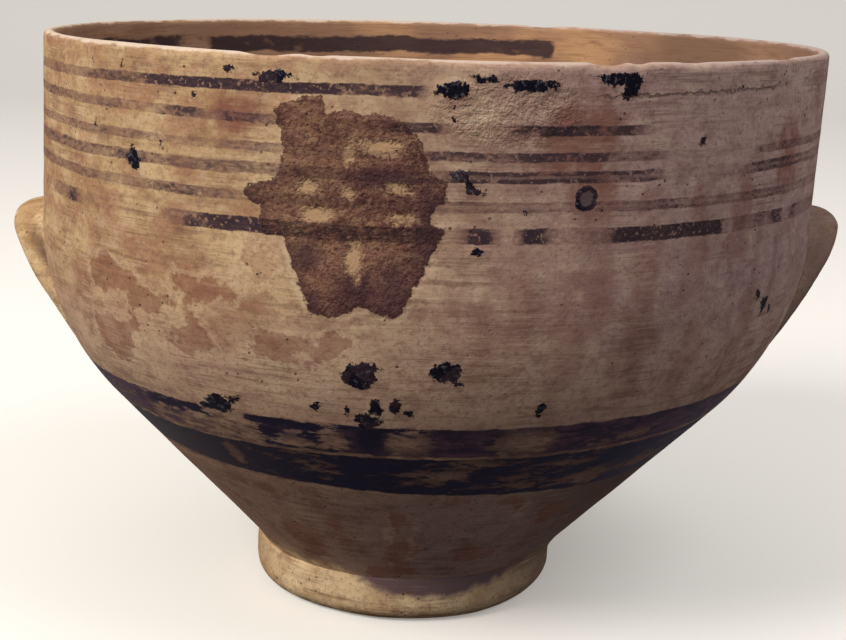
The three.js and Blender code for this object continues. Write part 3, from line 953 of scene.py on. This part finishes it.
def make_body():
    rows = outline()
    even = np.linspace(-pi, pi, COLUMNS, endpoint=False)
    mesh = revolved("bowl_body_visual", rows, even - FRONT_CROWDING * np.sin(even), closed_ends=True)
    points = points_of(mesh)
    angles = angles_of(points)
    inside = np.concatenate([np.repeat([row[2] for row in rows], COLUMNS), [0, 1]])
    values = values_at(angles, points[:, 2] / MM - MARKS_LEVEL, inside)
    for name, value in values.items():
        attribute = mesh.attributes.new(name, "FLOAT", "POINT")
        attribute.data.foreach_set("value", np.asarray(value, np.float32))
    on_side = points[:, 2] > RECESS_DEPTH + MM
    spread(points, unevenness(points, values, inside) * on_side)
    points[:, 2] -= chipped(angles, points[:, 2])
    stand_in(finish_mesh(mesh, points, "bowl_body_clay", painted_clay()), "bowl_body")


# The foot's mesh
def foot_outline():
    """(radius, height) round the ring's section, from the inner edge of its resting face."""
    flat = FOOT_RADIUS - FOOT_EDGE_ROUND
    rows = [(r, 0) for r in np.linspace(FOOT_RECESS_RADIUS + 0.6 * MM, flat, 5)]
    for angle in np.linspace(-pi / 2, 0, 10)[1:]:
        rows.append((flat + FOOT_EDGE_ROUND * cos(angle), FOOT_EDGE_ROUND * (1 + sin(angle))))
    top = Vector((cone_radius(FOOT_HEIGHT) + WAIST_FILLET - 0.5 * MM, FOOT_HEIGHT))
    for share in np.linspace(0, 1, 14)[1:]:
        out = Vector((FOOT_RADIUS, FOOT_EDGE_ROUND)).lerp(Vector((FOOT_RADIUS, FOOT_HEIGHT)), share)
        up = Vector((FOOT_RADIUS, FOOT_HEIGHT)).lerp(top, share)
        rows.append(tuple(out.lerp(up, share)))
    rows.append((cone_radius(FOOT_HEIGHT) - MM, FOOT_HEIGHT - 0.4 * MM))
    joint = RECESS_DEPTH - 0.1 * MM
    rows += [(cone_radius(joint) - 0.6 * MM, joint), (FOOT_RECESS_RADIUS, joint)]
    rows += [(FOOT_RECESS_RADIUS, height) for height in steps(joint, 0.5 * MM, 2 * MM)[1:]]
    return rows + [(FOOT_RECESS_RADIUS, 0.5 * MM)]


def make_foot():
    angles = np.linspace(-pi, pi, FOOT_COLUMNS, endpoint=False)
    mesh = revolved("foot_ring_visual", foot_outline(), angles, closed_ends=False)
    points = points_of(mesh)
    turned = angles_of(points)
    outer = smooth(np.hypot(points[:, 0], points[:, 1]), FOOT_RECESS_RADIUS + MM, FOOT_RADIUS - MM)
    worn_side = smooth(turned, *FOOT_WORN_START) * smooth(turned, *FOOT_WORN_END)
    worn_side *= smooth(points[:, 2], *FOOT_WORN_TOP)
    uneven = (lumps(points, 16 * MM, 5) - 0.8) * 0.3 * MM + (lumps(points, 5 * MM, 9) - 0.7) * 0.1 * MM
    spread(points, outer * (uneven - worn_side * FOOT_WORN_SIDE))
    stand_in(finish_mesh(mesh, points, "foot_ring_clay", foot_clay()), "foot_ring")


# The handles' meshes
def loop_point(angle, rise):
    """A point of the loop in its own plane: across the handle, and up from its roots to its tip."""
    power = 2 / LOOP_SQUARENESS
    across = copysign(abs(cos(angle)) ** power, cos(angle))
    up = copysign(abs(sin(angle)) ** power, sin(angle))
    return Vector((across * HANDLE_HALF_SPAN, up * rise))


def loop_angles():
    return np.linspace(-ROOT_RUN_ON, pi + ROOT_RUN_ON, LOOP_STEPS + 1)


def coil_angles():
    return np.linspace(0, 2 * pi, COIL_SIDES, endpoint=False)


def make_handle(side, turn, material):
    tilt = HANDLE_TILT[side]
    root_x = sqrt(outside_radius(HANDLE_ROOT_HEIGHT) ** 2 - HANDLE_HALF_SPAN ** 2)
    half_tip = hypot(COIL_BREADTH * cos(COIL_FALL), COIL_THICKNESS * cos(tilt)) / 2
    tip_x = RIM_RADIUS + HANDLE_REACH - half_tip + COIL_SINK * cos(COIL_FALL)
    rise = (tip_x - root_x) / cos(tilt)
    points = coil_points(tilt, root_x, rise)
    points[:, :2] *= cos(turn)
    over = np.array([hypot(x, y) - outside_radius(z) for x, y, z in points])
    swell = lumps(points, 9 * MM, 7 + turn) * 0.35 * MM + lumps(points, 3 * MM, 2) * 0.1 * MM - 0.3 * MM
    spread(points, np.maximum(over + np.where(over > 0, swell, 0), -COIL_UNDER_FACE) - over)
    mesh = coil_mesh(side + "_handle_visual", points)
    stand_in(finish_mesh(mesh, points, side + "_handle_clay", material), side + "_handle")


def coil_mesh(name, points):
    """A tube through the rings of points, closed at both ends, that knows where its grooves are, which the
    handle clay darkens as painted shade.
    """
    index = np.arange(len(points)).reshape(-1, COIL_SIDES)
    faces = tube_faces(index) + [index[0].tolist()[::-1], index[-1].tolist()]
    mesh = bpy.data.meshes.new(name)
    mesh.from_pydata(points.tolist(), [], faces)
    groove = mesh.attributes.new("groove", "FLOAT", "POINT")
    groove.data.foreach_set("value", [groove_share(a, t) for a in loop_angles() for t in coil_angles()])
    return mesh


def groove_share(angle, turn):
    """How much of the groove there is along a leg of the loop, on its outer side."""
    from_middle = degrees(min(angle, pi - angle)) - GROOVE_PLACE
    along = exp(-(from_middle / GROOVE_LENGTH) ** 2)
    return along * exp(-(sin(turn) / 0.3) ** 2) if cos(turn) > 0 else 0


def coil_points(tilt, root_x, rise):
    """Rings of points along the loop, sunk towards the wall, with a flare where they meet it."""
    to_right = Vector((0, 1, 0))
    up = Vector((cos(tilt), 0, sin(tilt)))
    out = Vector((cos(COIL_FALL), 0, -sin(COIL_FALL)))
    root = Vector((root_x, 0, HANDLE_ROOT_HEIGHT))
    points = []
    for angle in loop_angles():
        centre = loop_point(angle, rise)
        ahead = loop_point(angle + 0.01, rise) - loop_point(angle - 0.01, rise)
        beside = Vector((ahead.y, -ahead.x)).normalized()
        for turn in coil_angles():
            place = centre + beside * (COIL_THICKNESS / 2 * cos(turn))
            sunk = COIL_SINK + ROOT_PRESS * max(0, 1 - place.y / rise) ** 2
            depth = COIL_BREADTH / 2 * sin(turn) - sunk
            place -= beside * (GROOVE_DEPTH * groove_share(angle, turn))
            flat = root + to_right * place.x + up * place.y + out * depth
            over = hypot(flat.x, flat.y) - outside_radius(flat.z)
            flare = COIL_FLARE * max(0, 1 - abs(over) / COIL_FLARE_HEIGHT) ** 2
            place += beside * (copysign(flare, cos(turn)) if abs(cos(turn)) > 0.2 else 0)
            points.append(root + to_right * place.x + up * place.y + out * depth)
    return np.array([tuple(p) for p in points])


# The studio
def make_camera():
    data = bpy.data.cameras.new("camera")
    data.sensor_width = SENSOR_WIDTH
    data.lens = SENSOR_WIDTH * FOCAL_PIXELS / IMAGE_WIDTH
    data.clip_start = 10 * MM
    camera = add_object("camera", data)
    level = Vector((sin(CAMERA_YAW), cos(CAMERA_YAW), 0))
    forward = level * cos(CAMERA_PITCH) - Vector((0, 0, sin(CAMERA_PITCH)))
    right = Vector((cos(CAMERA_YAW), -sin(CAMERA_YAW), 0))
    down = forward.cross(right)
    across = right * cos(CAMERA_ROLL) + down * sin(CAMERA_ROLL)
    up = right * sin(CAMERA_ROLL) - down * cos(CAMERA_ROLL)
    turn = Matrix((across, up, -forward)).transposed().to_4x4()
    place = Vector((lean_at(HEIGHT), -CAMERA_DISTANCE, HEIGHT + CAMERA_ABOVE_RIM))
    camera.matrix_world = Matrix.Translation(place) @ turn
    bpy.context.scene.camera = camera


def make_floor():
    """A pale sweep: a level floor that curves up into a backdrop far behind."""
    side_view = [(-FLOOR_REACH, 0.0)]
    for i in range(SWEEP_STEPS + 1):
        angle = pi / 2 * i / SWEEP_STEPS
        side_view.append((FLOOR_REACH + SWEEP_ROUND * sin(angle), SWEEP_ROUND * (1 - cos(angle))))
    side_view.append((FLOOR_REACH + SWEEP_ROUND, BACKDROP_HEIGHT))
    vertices = [(x, y, z) for y, z in side_view for x in (-FLOOR_HALF_WIDTH, FLOOR_HALF_WIDTH)]
    faces = [(i, i + 1, i + 3, i + 2) for i in range(0, len(vertices) - 2, 2)]
    mesh = bpy.data.meshes.new("floor")
    mesh.from_pydata(vertices, [], faces)
    mesh.shade_smooth()
    mesh.materials.append(floor_paper())
    add_object("floor", mesh)


def seen_directly(tree):
    """1 where a ray comes from the camera, or by a reflection or through glass."""
    path = new_node(tree, "LightPath")
    total = path.outputs["Is Camera Ray"]
    for name in ("Is Glossy Ray", "Is Transmission Ray"):
        total = new_node(tree, "Math", {0: total, 1: path.outputs[name]}, operation="MAXIMUM").outputs[0]
    return total


def two_colors(tree, unseen, seen):
    """One colour in the light that is thrown on things, and another where the surface is seen."""
    return mixed(tree, seen_directly(tree), unseen, seen)


def floor_paper():
    """Pale where it is seen, with its shadows, and darker in the light that it throws on the object."""
    material = bpy.data.materials.new("floor")
    material.use_nodes = True
    tree = material.node_tree
    give(tree, tree.nodes["Principled BSDF"], {
        "Base Color": two_colors(tree, tone("554f4a"), tone("e6e2dc")), "Roughness": 0.9,
        "Specular IOR Level": 0.1, "Emission Strength": 1.0,
        "Emission Color": two_colors(tree, tone("000000"), tone("8b8883"))})
    return material


def make_world():
    """Even light, stronger from above."""
    world = bpy.data.worlds.new("studio")
    bpy.context.scene.world = world
    world.use_nodes = True
    tree = world.node_tree
    direction = new_node(tree, "TexCoord").outputs["Generated"]
    up = new_node(tree, "SeparateXYZ", {0: direction}).outputs[2]
    share = new_node(tree, "MapRange", {"Value": up}).outputs[0]
    light = mixed(tree, share, WORLD_LOW, WORLD_HIGH)
    give(tree, tree.nodes["Background"], {"Color": two_colors(tree, light, WORLD_SEEN)})


def make_lamp(name, place, size, power, color):
    data = bpy.data.lights.new(name, "AREA")
    data.shape = "DISK"
    data.size = size
    data.energy = power
    data.color = color
    lamp = add_object(name, data)
    lamp.location = place
    aim = Vector((0, 0, HEIGHT * 0.6)) - Vector(place)
    lamp.rotation_euler = aim.to_track_quat("-Z", "Y").to_euler()


def main():
    bpy.context.scene.view_settings.view_transform = "Standard"
    make_camera()
    make_body()
    make_foot()
    clay = handle_clay()
    make_handle("left", pi, clay)
    make_handle("right", 0, clay)
    make_floor()
    make_world()
    make_lamp("key", *KEY_LAMP)
    make_lamp("fill", *FILL_LAMP)


main()
